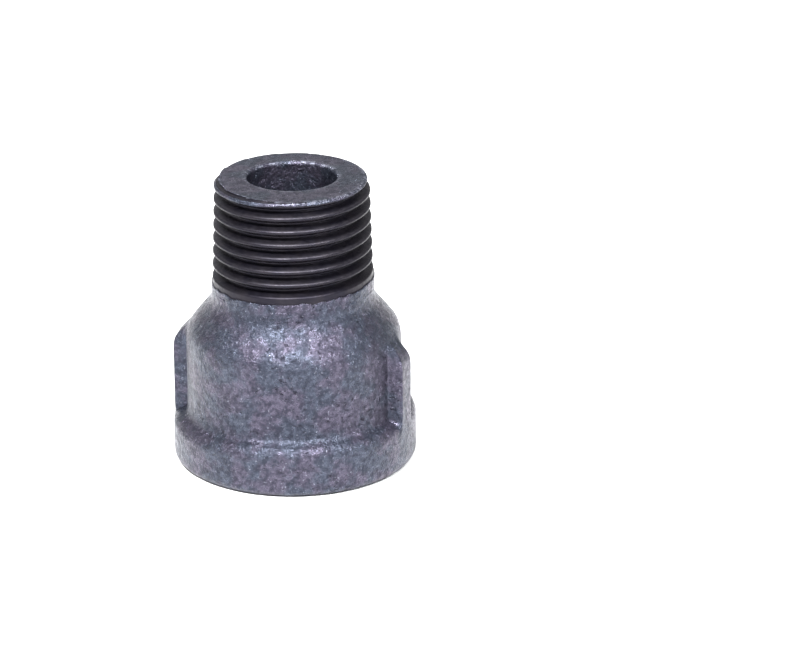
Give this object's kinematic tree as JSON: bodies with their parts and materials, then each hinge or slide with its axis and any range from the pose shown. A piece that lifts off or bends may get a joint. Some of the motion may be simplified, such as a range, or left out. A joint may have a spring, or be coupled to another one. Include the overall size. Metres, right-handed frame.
{
  "type": "concentric reducer",
  "caption": "Threaded pipe reducer: taper male end on top, wider female socket with a beaded rim below, two cast ribs, open bore through.",
  "frame": {"origin": "centre of the female mouth's face, on the common axis of both threads", "axes": "+Z along the common axis from the female mouth to the male nose; the two ribs lie near -X and +X, both turned 6 degrees towards -Y"},
  "size_m": [0.0324, 0.0324, 0.0388],
  "materials": {
    "galvanised_iron": "hot-dip galvanised casting, dull blue-grey, with dark oiled cut threads"
  },
  "bodies": {
    "root": {"reducer_casting": "galvanised_iron"}
  },
  "joints": []
}
